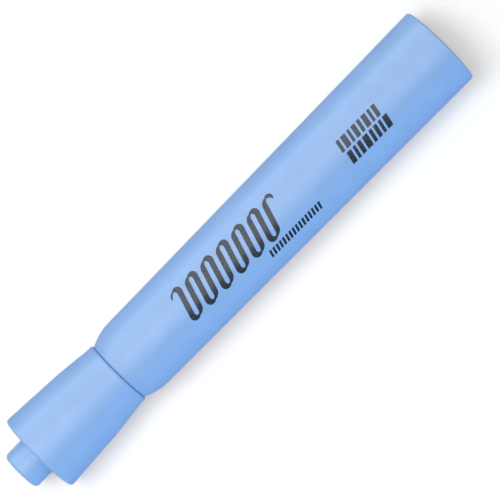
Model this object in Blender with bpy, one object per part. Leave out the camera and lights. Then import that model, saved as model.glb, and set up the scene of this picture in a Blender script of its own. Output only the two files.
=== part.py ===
"""Capped tank-style highlighter lying on its side, as an assembly of separate pieces.

Metres, +Z up. The pen's axis runs along +X from the tail to the cap, one rim radius above the
ground, so the barrel's tail rim and the cap's rim both rest on z = 0. The origin is under the
middle of the pen. Stations are distances along the pen's axis: a pen piece counts them from the
tail's flat face, and a cap piece counts them from the cap's mouth.
"""

import math

import bmesh
import bpy
from mathutils import Matrix, Vector

# Whole pen
RIM_RADIUS = 0.0095
BARREL_LENGTH = 0.0948
CAP_LENGTH = 0.0236
STUB_LENGTH = 0.0054
PEN_LENGTH = BARREL_LENGTH + CAP_LENGTH + STUB_LENGTH
SEGMENTS = 48
ARC_STEPS = 5
MERGE_DISTANCE = 1e-7
SHARP_ANGLE = math.radians(30)

# Running and fitting gaps, and the small chamfer on moulded edges
FIT_GAP = 0.0001
SEAM_GAP = 0.00015
REST_GAP = 0.0003
CHAMFER = 0.0003

# Barrel
WALL = 0.0014
TAIL_EDGE_RADIUS = 0.0005
SHOULDER_LENGTH = 0.0056
SHOULDER_RADIUS = 0.0113
SHOULDER_START_RADIUS = 0.0087
SHOULDER_STEPS = 8
NOSE_SEAT_RADIUS = 0.0060
NOSE_SEAT_LENGTH = 0.0062
NOSE_SEAT_CONE = 0.0020
BARREL_RIB_COUNT = 6
BARREL_RIB_WIDTH = 0.0009
BARREL_RIB_SPAN = (0.0105, 0.0855)

# Tail plug
PLUG_SEAT_RADIUS = 0.0081
PLUG_DEPTH = 0.0080
PLUG_FACE_THICKNESS = 0.0013
PLUG_WALL = 0.0010
PLUG_WEB_WIDTH = 0.0009

# Ink reservoir and its film
RESERVOIR_SPAN = (0.0095, 0.0875)
RESERVOIR_RADIUS = 0.00625
FILM_THICKNESS = 0.00015
FILM_GAP = 0.0001
FILM_SET_BACK = 0.0004

# Nib
NIB_SIZE = (0.0050, 0.0030)
NIB_DEPTH_IN_RESERVOIR = 0.0032
NIB_TIP_STATION = 0.1215
NIB_SLANT = math.radians(42)
NIB_FLANK_ANGLE = math.radians(24)
NIB_EDGE_WIDTH = 0.0012
NIB_CORNER = 0.0004

# Nose section
NOSE_REAR_STATION = 0.0888
FLANGE_RADIUS = 0.00645
FLANGE_LENGTH = 0.0015
SEAL_RADIUS = 0.00565
SEAL_BEAD_HEIGHT = 0.00007
SEAL_BEAD_STATIONS = (0.0995, 0.1025)
SEAL_BEAD_LENGTH = 0.0010
CONE_START_STATION = 0.1045
CONE_END_STATION = 0.1115
NOSE_TIP_STATION = 0.1120
NOSE_TIP_RADIUS = 0.0037
NOSE_BORE_RADIUS = 0.0046
NOSE_BORE_END = 0.1035
VENT_GROOVE = (0.0010, 0.0006)

# Cap shell, stations from the mouth
SHELL_MOUTH_RADIUS = 0.0078
SHELL_MOUTH_BORE = 0.0067
SHELL_MOUTH_EDGE = 0.0005
SHELL_MOUTH_BAND = 0.0016
SHELL_KNEE_START = (0.0070, 0.00842)
SHELL_KNEE = (0.0098, 0.00874)
SHELL_KNEE_END = (0.0136, 0.00892)
SHELL_RIM_EDGE = 0.0006
SHELL_WALL = 0.0011
SHELL_WEB_STATION = 0.0184
SHELL_WEB_THICKNESS = 0.0011
SHELL_RIB_COUNT = 6
SHELL_RIB_WIDTH = 0.0008
SHELL_RIB_START = 0.0040
SHELL_END_RIB_SET_BACK = 0.0012
SHELL_END_RIB_INNER = 0.0050
AIR_SLOT_RADII = (0.0057, 0.0073)
AIR_SLOT_WIDTH = 0.0018

# Inner cap, stations from the cap's mouth
INNER_CAP_START = 0.0030
SEAL_TUBE_RADIUS = 0.0066
SEAL_TUBE_BORE = 0.0058
SEAL_TUBE_END = 0.0122
STUB_RADIUS = 0.00457
STUB_BORE = 0.0036
STUB_START = 0.0184
STUB_EDGE = 0.0009
STUB_END_THICKNESS = 0.0010
SNAP_BEAD_RADIUS = 0.0048
SNAP_BEAD_LENGTH = 0.0006

# Finishes: base colour, roughness
BLUE_PLASTIC = ((0.22, 0.456, 0.87, 1.0), 0.38)
FIBRE = ((0.35, 0.62, 0.90, 1.0), 0.9)
FILM = ((0.75, 0.86, 0.95, 1.0), 0.2)
FELT = ((0.05, 0.33, 0.85, 1.0), 0.85)


def clear_scene():
    for old in list(bpy.data.objects):
        bpy.data.objects.remove(old, do_unlink=True)


def finish_material(name, finish):
    colour, roughness = finish
    material = bpy.data.materials.new(name)
    material.use_nodes = True
    shader = material.node_tree.nodes["Principled BSDF"]
    shader.inputs["Base Color"].default_value = colour
    shader.inputs["Roughness"].default_value = roughness
    shader.inputs["Metallic"].default_value = 0.0
    material.diffuse_color = colour
    return material


def empty(name, location, parent=None):
    """An axis marker: the pieces placed on it count their stations from it."""
    marker = bpy.data.objects.new(name, None)
    marker.empty_display_size = 0.01
    marker.location = location
    marker.parent = parent
    bpy.context.collection.objects.link(marker)
    return marker


def add_object(name, mesh_builder, parent, finish=None):
    """Link a piece made from a bmesh; a piece with no finish is a cutter or an added body."""
    mesh = bpy.data.meshes.new(name)
    mesh_builder.to_mesh(mesh)
    mesh_builder.free()
    piece = bpy.data.objects.new(name, mesh)
    piece.parent = parent
    bpy.context.collection.objects.link(piece)
    if finish is None:
        piece.hide_render = True
        piece.display_type = "WIRE"
    else:
        mesh.shade_smooth()
        mesh.set_sharp_from_angle(angle=SHARP_ANGLE)
        mesh.materials.append(finish_material(name, finish))
    return piece


def combine(piece, other, operation):
    modifier = piece.modifiers.new(f"{operation.lower()}_{other.name}", "BOOLEAN")
    modifier.object = other
    modifier.operation = operation
    modifier.solver = "EXACT"


def arc(centre, radius, start, end, steps=ARC_STEPS):
    """Points on a circle in the (station, radius) plane, angles in degrees from +station."""
    points = []
    for step in range(steps + 1):
        angle = math.radians(start + (end - start) * step / steps)
        points.append((centre[0] + radius * math.cos(angle), centre[1] + radius * math.sin(angle)))
    return points


def bend(start, knee, end, steps=ARC_STEPS):
    """A quadratic curve from start to end that leaves and arrives along the lines to the knee."""
    points = []
    for step in range(steps + 1):
        t = step / steps
        points.append(tuple(
            (1 - t) ** 2 * a + 2 * t * (1 - t) * b + t ** 2 * c for a, b, c in zip(start, knee, end)
        ))
    return points


def turned(outline):
    """Turn a closed (station, radius) outline about the pen's axis into one closed body."""
    builder = bmesh.new()
    points = [builder.verts.new((station, 0.0, -radius)) for station, radius in outline]
    on_axis = [radius < MERGE_DISTANCE for _, radius in outline]
    for index, point in enumerate(points):
        following = (index + 1) % len(points)
        if not (on_axis[index] and on_axis[following]):
            builder.edges.new((point, points[following]))
    bmesh.ops.spin(
        builder, geom=builder.verts[:] + builder.edges[:], cent=(0, 0, 0), axis=(1, 0, 0),
        angle=2 * math.pi, steps=SEGMENTS, use_merge=True,
    )
    bmesh.ops.remove_doubles(builder, verts=builder.verts, dist=MERGE_DISTANCE)
    bmesh.ops.recalc_face_normals(builder, faces=builder.faces)
    return builder


def add_box(builder, low, high, turn=0.0):
    """Add a box between two corners, turned about the pen's axis."""
    size = Vector(high) - Vector(low)
    middle = (Vector(high) + Vector(low)) / 2
    place = Matrix.Rotation(turn, 4, "X") @ Matrix.Translation(middle) @ Matrix.Diagonal((*size, 1.0))
    bmesh.ops.create_cube(builder, size=1.0, matrix=place)


def around(count, offset=0.0):
    return [offset + 2 * math.pi * index / count for index in range(count)]


def spokes(span, radii, width, turns):
    """Radial ribs of one width between two stations and two radii, one at each turn."""
    builder = bmesh.new()
    for turn in turns:
        low = (span[0], radii[0], -width / 2)
        high = (span[1], radii[1], width / 2)
        add_box(builder, low, high, turn)
    return builder


def barrel_radius(station):
    """Outer radius of the tapered part of the barrel."""
    share = station / (BARREL_LENGTH - SHOULDER_LENGTH)
    return RIM_RADIUS + (SHOULDER_START_RADIUS - RIM_RADIUS) * share


def build_barrel(pen_axis):
    shoulder_station = BARREL_LENGTH - SHOULDER_LENGTH
    shoulder_centre = (shoulder_station, SHOULDER_START_RADIUS - SHOULDER_RADIUS)
    front = BARREL_LENGTH - SEAM_GAP
    sweep = math.degrees(math.asin((front - shoulder_station) / SHOULDER_RADIUS))
    seat_start = front - NOSE_SEAT_LENGTH
    cone_start = seat_start - NOSE_SEAT_CONE
    tail_arc_centre = (TAIL_EDGE_RADIUS, RIM_RADIUS - TAIL_EDGE_RADIUS)
    outline = (
        [(0.0, PLUG_SEAT_RADIUS)]
        + arc(tail_arc_centre, TAIL_EDGE_RADIUS, 180, 90)
        + arc(shoulder_centre, SHOULDER_RADIUS, 90, 90 - sweep, SHOULDER_STEPS)
        + [
            (front, NOSE_SEAT_RADIUS),
            (seat_start, NOSE_SEAT_RADIUS),
            (cone_start, barrel_radius(cone_start) - WALL),
            (PLUG_DEPTH, barrel_radius(PLUG_DEPTH) - WALL),
            (PLUG_DEPTH, PLUG_SEAT_RADIUS),
        ]
    )
    barrel = add_object("barrel", turned(outline), pen_axis, BLUE_PLASTIC)
    rib_inner = RESERVOIR_RADIUS + FILM_GAP + FILM_THICKNESS + SEAM_GAP
    rib_outer = barrel_radius(BARREL_RIB_SPAN[1]) - WALL / 2
    ribs = spokes(BARREL_RIB_SPAN, (rib_inner, rib_outer), BARREL_RIB_WIDTH, around(BARREL_RIB_COUNT))
    combine(barrel, add_object("barrel_ribs_body", ribs, pen_axis), "UNION")


def build_tail_plug(pen_axis):
    outer = PLUG_SEAT_RADIUS - FIT_GAP
    inner = outer - PLUG_WALL
    end = PLUG_DEPTH - REST_GAP
    outline = [
        (0.0, 0.0),
        (0.0, outer - CHAMFER),
        (CHAMFER, outer),
        (end - CHAMFER, outer),
        (end, outer - CHAMFER),
        (end, inner),
        (PLUG_FACE_THICKNESS, inner),
        (PLUG_FACE_THICKNESS, 0.0),
    ]
    plug = add_object("tail_plug", turned(outline), pen_axis, BLUE_PLASTIC)
    reach = inner + PLUG_WALL / 2
    middle = PLUG_FACE_THICKNESS / 2
    half = PLUG_WEB_WIDTH / 2
    web_end = end - CHAMFER
    post_end = RESERVOIR_SPAN[0] - REST_GAP
    stiffeners = {
        "tail_plug_web_body": ((middle, -reach, -half), (web_end, reach, half)),
        "tail_plug_cross_web_body": ((middle, -half, -reach), (web_end, half, reach)),
        "tail_plug_post_body": ((middle, -2 * half, -2 * half), (post_end, 2 * half, 2 * half)),
    }
    for name, (low, high) in stiffeners.items():
        builder = bmesh.new()
        add_box(builder, low, high)
        combine(plug, add_object(name, builder, pen_axis), "UNION")


def build_reservoir(pen_axis):
    start, end = RESERVOIR_SPAN
    outline = [(start, 0.0), (start, RESERVOIR_RADIUS), (end, RESERVOIR_RADIUS), (end, 0.0)]
    reservoir = add_object("ink_reservoir", turned(outline), pen_axis, FIBRE)
    pocket = bmesh.new()
    half_wide = NIB_SIZE[0] / 2 + SEAM_GAP
    half_thick = NIB_SIZE[1] / 2 + SEAM_GAP
    low = (end - NIB_DEPTH_IN_RESERVOIR - REST_GAP, -half_wide, -half_thick)
    add_box(pocket, low, (end + REST_GAP, half_wide, half_thick))
    combine(reservoir, add_object("nib_pocket_cutter", pocket, pen_axis), "DIFFERENCE")

    inner = RESERVOIR_RADIUS + FILM_GAP
    outer = inner + FILM_THICKNESS
    start += FILM_SET_BACK
    end -= FILM_SET_BACK
    outline = [(start, inner), (start, outer), (end, outer), (end, inner)]
    add_object("reservoir_film", turned(outline), pen_axis, FILM)


def build_nib(pen_axis):
    """A felt bar whose end is cut to a slanted edge between two flanks."""
    start = RESERVOIR_SPAN[1] - NIB_DEPTH_IN_RESERVOIR
    half_wide, half_thick = NIB_SIZE[0] / 2, NIB_SIZE[1] / 2
    builder = bmesh.new()
    add_box(builder, (start, -half_wide, -half_thick), (NIB_TIP_STATION, half_wide, half_thick))
    long_edges = [
        edge for edge in builder.edges
        if abs(edge.verts[0].co.x - edge.verts[1].co.x) > NIB_SIZE[0]
    ]
    bmesh.ops.bevel(
        builder, geom=long_edges, offset=NIB_CORNER, offset_type="OFFSET", segments=3,
        profile=0.5, affect="EDGES",
    )
    tip = Vector((NIB_TIP_STATION, half_wide, 0.0))
    cuts = [(tip, Vector((math.cos(NIB_SLANT), -math.sin(NIB_SLANT), 0.0)))]
    for side in (1, -1):
        edge_point = tip + Vector((0.0, 0.0, side * NIB_EDGE_WIDTH / 2))
        along_edge = Vector((math.sin(NIB_SLANT), math.cos(NIB_SLANT), 0.0))
        down_flank = Vector((-math.cos(NIB_FLANK_ANGLE), 0.0, side * math.sin(NIB_FLANK_ANGLE)))
        normal = along_edge.cross(down_flank).normalized()
        if normal.z * side < 0:
            normal.negate()
        cuts.append((edge_point, normal))
    for point, normal in cuts:
        geometry = builder.verts[:] + builder.edges[:] + builder.faces[:]
        bmesh.ops.bisect_plane(
            builder, geom=geometry, plane_co=point, plane_no=normal, clear_outer=True,
            dist=MERGE_DISTANCE,
        )
        open_edges = [edge for edge in builder.edges if edge.is_boundary]
        bmesh.ops.holes_fill(builder, edges=open_edges)
    bmesh.ops.recalc_face_normals(builder, faces=builder.faces)
    add_object("chisel_nib", builder, pen_axis, FELT)


def build_nose(pen_axis):
    seat_radius = NOSE_SEAT_RADIUS - FIT_GAP
    flange_end = BARREL_LENGTH + FLANGE_LENGTH
    tip_edge = NOSE_TIP_STATION - CONE_END_STATION
    outline = [
        (NOSE_REAR_STATION, NOSE_BORE_RADIUS),
        (NOSE_REAR_STATION, seat_radius - CHAMFER),
        (NOSE_REAR_STATION + CHAMFER, seat_radius),
        (BARREL_LENGTH, seat_radius),
        (BARREL_LENGTH, FLANGE_RADIUS),
        (flange_end, FLANGE_RADIUS),
        (flange_end, SEAL_RADIUS),
    ]
    for station in SEAL_BEAD_STATIONS:
        half = SEAL_BEAD_LENGTH / 2
        outline += [
            (station - half, SEAL_RADIUS),
            (station, SEAL_RADIUS + SEAL_BEAD_HEIGHT),
            (station + half, SEAL_RADIUS),
        ]
    outline.append((CONE_START_STATION, SEAL_RADIUS))
    outline += arc((CONE_END_STATION, NOSE_TIP_RADIUS - tip_edge), tip_edge, 90, 0)
    outline += [(NOSE_TIP_STATION, 0.0), (NOSE_BORE_END, 0.0), (NOSE_BORE_END, NOSE_BORE_RADIUS)]
    nose = add_object("nose_section", turned(outline), pen_axis, BLUE_PLASTIC)

    slot = bmesh.new()
    half_wide = NIB_SIZE[0] / 2 + SEAM_GAP
    half_thick = NIB_SIZE[1] / 2 + SEAM_GAP
    reach = NOSE_BORE_END - REST_GAP, NOSE_TIP_STATION + REST_GAP
    add_box(slot, (reach[0], -half_wide, -half_thick), (reach[1], half_wide, half_thick))
    grooves = bmesh.new()
    groove_half, groove_depth = VENT_GROOVE[0] / 2, VENT_GROOVE[1]
    deep = half_thick + groove_depth
    add_box(grooves, (reach[0], -groove_half, -deep), (reach[1], groove_half, deep))
    combine(nose, add_object("nib_slot_cutter", slot, pen_axis), "DIFFERENCE")
    combine(nose, add_object("vent_groove_cutter", grooves, pen_axis), "DIFFERENCE")


def build_cap_shell(cap_axis):
    rim_start = CAP_LENGTH - SHELL_RIM_EDGE
    mouth_centre = (SHELL_MOUTH_EDGE, SHELL_MOUTH_RADIUS - SHELL_MOUTH_EDGE)
    rim_centre = (rim_start, RIM_RADIUS - SHELL_RIM_EDGE)
    knee = bend(SHELL_KNEE_START, SHELL_KNEE, SHELL_KNEE_END)
    inner_knee = [(station, radius - SHELL_WALL) for station, radius in reversed(knee)]
    flare = (RIM_RADIUS - SHELL_KNEE_END[1]) / (rim_start - SHELL_KNEE_END[0])

    def inner_radius(station):
        return SHELL_KNEE_END[1] + flare * (station - SHELL_KNEE_END[0]) - SHELL_WALL

    web_outer = SHELL_WEB_STATION + SHELL_WEB_THICKNESS
    web_bore = STUB_RADIUS + FIT_GAP
    outline = (
        [(0.0, SHELL_MOUTH_BORE)]
        + arc(mouth_centre, SHELL_MOUTH_EDGE, 180, 90)
        + [(SHELL_MOUTH_BAND, SHELL_MOUTH_RADIUS)]
        + knee
        + arc(rim_centre, SHELL_RIM_EDGE, 90, 0)
        + [
            (CAP_LENGTH, inner_radius(CAP_LENGTH)),
            (web_outer, inner_radius(web_outer)),
            (web_outer, web_bore),
            (SHELL_WEB_STATION, web_bore),
            (SHELL_WEB_STATION, inner_radius(SHELL_WEB_STATION)),
        ]
        + inner_knee
        + [(SHELL_MOUTH_BAND, SHELL_MOUTH_BORE)]
    )
    shell = add_object("cap_shell", turned(outline), cap_axis, BLUE_PLASTIC)

    turns = around(SHELL_RIB_COUNT)
    half_wall = SHELL_WALL / 2
    long_span = (SHELL_RIB_START, SHELL_WEB_STATION + SHELL_WEB_THICKNESS / 2)
    long_radii = (SEAL_TUBE_RADIUS + SEAM_GAP, SHELL_KNEE_START[1] - half_wall)
    long_ribs = spokes(long_span, long_radii, SHELL_RIB_WIDTH, turns)
    combine(shell, add_object("cap_long_ribs_body", long_ribs, cap_axis), "UNION")

    end_span = (web_outer - SHELL_WEB_THICKNESS / 2, CAP_LENGTH - SHELL_END_RIB_SET_BACK)
    end_radii = (SHELL_END_RIB_INNER, inner_radius(web_outer) + half_wall)
    end_ribs = spokes(end_span, end_radii, SHELL_RIB_WIDTH, turns)
    combine(shell, add_object("cap_end_ribs_body", end_ribs, cap_axis), "UNION")

    slot_span = (SHELL_WEB_STATION - REST_GAP, web_outer + REST_GAP)
    slot_turns = around(SHELL_RIB_COUNT, math.pi / SHELL_RIB_COUNT)
    slots = spokes(slot_span, AIR_SLOT_RADII, AIR_SLOT_WIDTH, slot_turns)
    combine(shell, add_object("air_slot_cutter", slots, cap_axis), "DIFFERENCE")


def build_inner_cap(cap_axis):
    end = CAP_LENGTH + STUB_LENGTH
    wall = SEAL_TUBE_RADIUS - SEAL_TUBE_BORE
    bead_start = SHELL_WEB_STATION + SHELL_WEB_THICKNESS + SEAM_GAP
    bead_middle = bead_start + SNAP_BEAD_LENGTH / 2
    bead_end = bead_start + SNAP_BEAD_LENGTH
    stub_start = STUB_START - SEAM_GAP
    outline = (
        [
            (INNER_CAP_START, SEAL_TUBE_BORE + CHAMFER),
            (INNER_CAP_START, SEAL_TUBE_RADIUS),
            (SEAL_TUBE_END, SEAL_TUBE_RADIUS),
            (stub_start, STUB_RADIUS),
            (bead_start, STUB_RADIUS),
            (bead_middle, SNAP_BEAD_RADIUS),
            (bead_end, STUB_RADIUS),
        ]
        + arc((end - STUB_EDGE, STUB_RADIUS - STUB_EDGE), STUB_EDGE, 90, 0)
        + [
            (end, 0.0),
            (end - STUB_END_THICKNESS, 0.0),
            (end - STUB_END_THICKNESS, STUB_BORE),
            (stub_start - wall / 2, STUB_BORE),
            (SEAL_TUBE_END - wall / 2, SEAL_TUBE_BORE),
            (INNER_CAP_START + CHAMFER, SEAL_TUBE_BORE),
        ]
    )
    add_object("inner_cap", turned(outline), cap_axis, BLUE_PLASTIC)


def main():
    clear_scene()
    pen_axis = empty("pen_axis", (-PEN_LENGTH / 2, 0.0, RIM_RADIUS))
    cap_axis = empty("cap_axis", (BARREL_LENGTH, 0.0, 0.0), pen_axis)
    build_barrel(pen_axis)
    build_tail_plug(pen_axis)
    build_reservoir(pen_axis)
    build_nib(pen_axis)
    build_nose(pen_axis)
    build_cap_shell(cap_axis)
    build_inner_cap(cap_axis)


main()
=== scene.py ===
"""Builds a capped, tank-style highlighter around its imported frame.

Metres, +Z up. The pen's axis runs along +X from the tail to the cap, one rim radius above
the floor. Stations are distances along the axis: a pen piece counts them from the tail's
flat face, and a cap piece counts them from the cap's mouth.
"""

import math

import bmesh
import bpy
from bpy.props import FloatProperty, FloatVectorProperty, IntProperty, PointerProperty
from mathutils import Euler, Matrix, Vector


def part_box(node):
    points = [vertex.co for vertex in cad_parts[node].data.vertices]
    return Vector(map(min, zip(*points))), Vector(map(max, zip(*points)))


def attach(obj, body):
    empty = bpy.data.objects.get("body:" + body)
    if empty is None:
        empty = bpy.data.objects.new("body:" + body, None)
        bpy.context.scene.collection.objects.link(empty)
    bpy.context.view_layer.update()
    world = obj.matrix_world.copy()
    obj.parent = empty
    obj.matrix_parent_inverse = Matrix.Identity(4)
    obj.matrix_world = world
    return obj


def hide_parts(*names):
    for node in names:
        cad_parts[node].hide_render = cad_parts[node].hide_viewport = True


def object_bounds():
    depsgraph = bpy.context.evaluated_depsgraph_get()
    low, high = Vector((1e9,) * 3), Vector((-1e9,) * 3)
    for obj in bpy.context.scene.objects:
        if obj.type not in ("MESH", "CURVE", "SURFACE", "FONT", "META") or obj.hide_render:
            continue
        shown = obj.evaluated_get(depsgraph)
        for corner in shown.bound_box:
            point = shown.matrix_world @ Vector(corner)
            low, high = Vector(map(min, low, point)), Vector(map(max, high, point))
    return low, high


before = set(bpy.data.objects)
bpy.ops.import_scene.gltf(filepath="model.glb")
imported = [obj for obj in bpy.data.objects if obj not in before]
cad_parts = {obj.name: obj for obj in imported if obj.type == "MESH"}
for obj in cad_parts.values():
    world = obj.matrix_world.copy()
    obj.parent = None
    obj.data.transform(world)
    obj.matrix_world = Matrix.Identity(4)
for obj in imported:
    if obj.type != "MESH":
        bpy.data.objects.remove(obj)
CAD_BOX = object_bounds()

bl_info = {
    "name": "Capped Highlighter",
    "version": (1, 0, 0),
    "blender": (4, 5, 0),
    "location": "View3D > Sidebar > Highlighter",
    "description": "Builds a capped, tank-style highlighter around its packed frame",
    "category": "Object",
}

# Places read from the frame
BARREL_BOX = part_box("barrel")
SHELL_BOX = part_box("cap_shell")
INNER_CAP_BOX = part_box("inner_cap")
NOSE_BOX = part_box("nose_section")
NIB_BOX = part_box("chisel_nib")
RESERVOIR_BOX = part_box("ink_reservoir")
FILM_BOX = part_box("reservoir_film")
PLUG_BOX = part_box("tail_plug")

# An outer radius is half a box's height; stations come from the tail or the cap's mouth
TAIL_X = BARREL_BOX[0].x
MOUTH_X = SHELL_BOX[0].x
AXIS_Z = (BARREL_BOX[0].z + BARREL_BOX[1].z) / 2
RIM_RADIUS = (BARREL_BOX[1].z - BARREL_BOX[0].z) / 2
BARREL_LENGTH = MOUTH_X - TAIL_X
BARREL_FRONT = BARREL_BOX[1].x - TAIL_X
SHELL_LENGTH = SHELL_BOX[1].x - MOUTH_X
CAP_LENGTH = INNER_CAP_BOX[1].x - MOUTH_X
SEAL_TUBE_RADIUS = (INNER_CAP_BOX[1].z - INNER_CAP_BOX[0].z) / 2
SEAL_TUBE_START = INNER_CAP_BOX[0].x - MOUTH_X
FLANGE_RADIUS = (NOSE_BOX[1].z - NOSE_BOX[0].z) / 2
NOSE_REAR = NOSE_BOX[0].x - TAIL_X
NOSE_TIP = NOSE_BOX[1].x - TAIL_X
PLUG_RADIUS = (PLUG_BOX[1].z - PLUG_BOX[0].z) / 2
PLUG_REACH = PLUG_BOX[1].x - TAIL_X

# Gaps between pieces, and the modelling's own measures
FIT_GAP = 0.0001
SEAM_GAP = 0.00015
SHARP_ANGLE = math.radians(32)
BLOCK_EDGE = 0.0001
CUTTER_OVERRUN = 0.0005
MERGE_DISTANCE = 1e-6
CUT_DISTANCE = 1e-7
ABOVE_PEN = 1.2 * RIM_RADIUS


# ---------------------------------------------------------------- sizes and colours


class HighlighterSizes(bpy.types.PropertyGroup):
    """Sizes of the pen's visible surfaces."""

    segments: IntProperty(
        name="Segments", description="Facets around each round piece", default=192, min=24,
    )
    wall: FloatProperty(
        name="Wall", description="Thickness of the barrel's wall", default=0.0014, unit="LENGTH",
    )
    tail_edge: FloatProperty(
        name="Tail edge", description="Radius of the barrel's tail edge", default=0.0005,
        unit="LENGTH",
    )
    shoulder_length: FloatProperty(
        name="Shoulder length", description="Length of the barrel's round shoulder",
        default=0.0056, unit="LENGTH",
    )
    shoulder_radius: FloatProperty(
        name="Shoulder radius", description="Radius of the arc along the shoulder",
        default=0.0113, unit="LENGTH",
    )
    shoulder_start: FloatProperty(
        name="Shoulder start", description="Barrel radius where the shoulder begins",
        default=0.0087, unit="LENGTH",
    )
    nose_seat: FloatProperty(
        name="Nose seat", description="Bore radius that the nose section is pressed into",
        default=0.0060, unit="LENGTH",
    )
    shell_mouth: FloatProperty(
        name="Cap mouth", description="Outer radius of the cap's mouth", default=0.0078,
        unit="LENGTH",
    )
    shell_bore: FloatProperty(
        name="Cap bore", description="Inner radius of the cap's mouth", default=0.0067,
        unit="LENGTH",
    )
    shell_wall: FloatProperty(
        name="Cap wall", description="Thickness of the cap's outer wall", default=0.0011,
        unit="LENGTH",
    )
    stub_radius: FloatProperty(
        name="Stub", description="Radius of the round stub on the cap's end", default=0.00457,
        unit="LENGTH",
    )
    seal_bore: FloatProperty(
        name="Seal bore", description="Inner radius of the inner cap's sealing tube",
        default=0.0058, unit="LENGTH",
    )
    print_thickness: FloatProperty(
        name="Print thickness", description="Thickness of the printed ink film",
        default=0.000018, unit="LENGTH", precision=6,
    )


class HighlighterColours(bpy.types.PropertyGroup):
    """Base colours of the pen's finishes."""

    plastic: FloatVectorProperty(
        name="Plastic", description="Blue satin plastic", subtype="COLOR", size=3,
        min=0.0, max=1.0, default=(0.272, 0.443, 0.760),
    )
    print_ink: FloatVectorProperty(
        name="Print", description="Glossy near-black print", subtype="COLOR", size=3,
        min=0.0, max=1.0, default=(0.005, 0.012, 0.022),
    )
    felt: FloatVectorProperty(
        name="Felt", description="Felt nib soaked in ink", subtype="COLOR", size=3,
        min=0.0, max=1.0, default=(0.03, 0.30, 0.80),
    )
    fibre: FloatVectorProperty(
        name="Fibre", description="Inked fibre core", subtype="COLOR", size=3,
        min=0.0, max=1.0, default=(0.22, 0.52, 0.88),
    )
    film: FloatVectorProperty(
        name="Film", description="Clear wrap around the fibre core", subtype="COLOR", size=3,
        min=0.0, max=1.0, default=(0.80, 0.90, 0.97),
    )


class HighlighterStudio(bpy.types.PropertyGroup):
    """Camera, floor and light."""

    distance: FloatProperty(
        name="Distance", description="Camera height above the pen's axis", default=0.64,
        unit="LENGTH",
    )
    frame_width: FloatProperty(
        name="Frame width", description="Width seen at the pen's axis", default=0.10335,
        unit="LENGTH",
    )
    turn: FloatProperty(
        name="Turn", description="Turn of the camera about the vertical",
        default=math.radians(134.5), subtype="ANGLE",
    )
    toward_tail: FloatProperty(
        name="Toward tail", description="Frame centre's offset toward the tail",
        default=0.00407, unit="LENGTH",
    )
    toward_side: FloatProperty(
        name="Toward side", description="Frame centre's offset toward the shaded side",
        default=0.00163, unit="LENGTH",
    )
    floor_glow: FloatProperty(
        name="Floor glow", description="Light given off by the white floor", default=0.8,
    )
    surround: FloatProperty(name="Surround", description="Light from all around", default=0.22)
    key: FloatProperty(name="Key", description="Power of the overhead light", default=1.9)
    sky: FloatProperty(name="Sky", description="Power of the wide overhead light", default=2.2)
    shade_fill: FloatProperty(
        name="Shaded side fill", description="Power of the fill on the shaded side", default=8.2,
    )
    lit_fill: FloatProperty(
        name="Lit side fill", description="Power of the low fill on the lit side", default=4.4,
    )
    panel_high: FloatProperty(
        name="High panel", description="Power of the panel reflected on the top", default=12.8,
    )
    panel_far: FloatProperty(
        name="Far panel", description="Power of the dim panel past the top", default=1.6,
    )
    panel_low: FloatProperty(
        name="Low panel", description="Power of the panel reflected on the side", default=16.6,
    )
    floor_size: FloatProperty(
        name="Floor size", description="Side of the square floor", default=12.0, unit="LENGTH",
    )


# ---------------------------------------------------------------- modelling helpers


def deselect_all():
    if bpy.context.object and bpy.context.object.mode != "OBJECT":
        bpy.ops.object.mode_set(mode="OBJECT")
    bpy.ops.object.select_all(action="DESELECT")


def make_active(piece):
    deselect_all()
    piece.select_set(True)
    bpy.context.view_layer.objects.active = piece


def select_where(piece, test):
    """In edit mode, select just the vertices that pass the test."""
    shape = bmesh.from_edit_mesh(piece.data)
    for vertex in shape.verts:
        vertex.select_set(test(vertex))
    shape.select_flush_mode()
    shape.select_flush(True)
    bmesh.update_edit_mesh(piece.data)


def arc(centre, radius, start, end, steps=8):
    """Points on a circle in the (station, radius) plane, angles in degrees from +station."""
    points = []
    for step in range(steps + 1):
        angle = math.radians(start + (end - start) * step / steps)
        points.append((
            centre[0] + radius * math.cos(angle), centre[1] + radius * math.sin(angle),
        ))
    return points


def bend(start, knee, end, steps=16):
    """A quadratic curve from start to end that leaves and arrives along the lines to the knee."""
    points = []
    for step in range(steps + 1):
        t = step / steps
        points.append(tuple(
            (1 - t) ** 2 * a + 2 * t * (1 - t) * b + t ** 2 * c for a, b, c in zip(start, knee, end)
        ))
    return points


def drawn_line(name, points):
    """A line drawn by extruding one vertex from point to point."""
    deselect_all()
    bpy.ops.mesh.primitive_plane_add(size=0.001, location=(0, 0, 0))
    piece = bpy.context.object
    piece.name = piece.data.name = name
    bpy.ops.object.mode_set(mode="EDIT")
    bpy.ops.mesh.select_all(action="SELECT")
    bpy.ops.mesh.merge(type="CENTER")
    bpy.ops.transform.translate(value=points[0])
    for here, following in zip(points, points[1:]):
        bpy.ops.mesh.extrude_region_move(TRANSFORM_OT_translate={"value": following - here})
    bpy.ops.object.mode_set(mode="OBJECT")
    return piece


def bead(middle, radius, half, height):
    """A raised round bead along an outline."""
    points = []
    half_steps = 4
    for step in range(2 * half_steps + 1):
        along = -1 + step / half_steps
        rise = height * (1 + math.cos(math.pi * along)) / 2
        points.append((middle + half * along, radius + rise))
    return points


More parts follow.
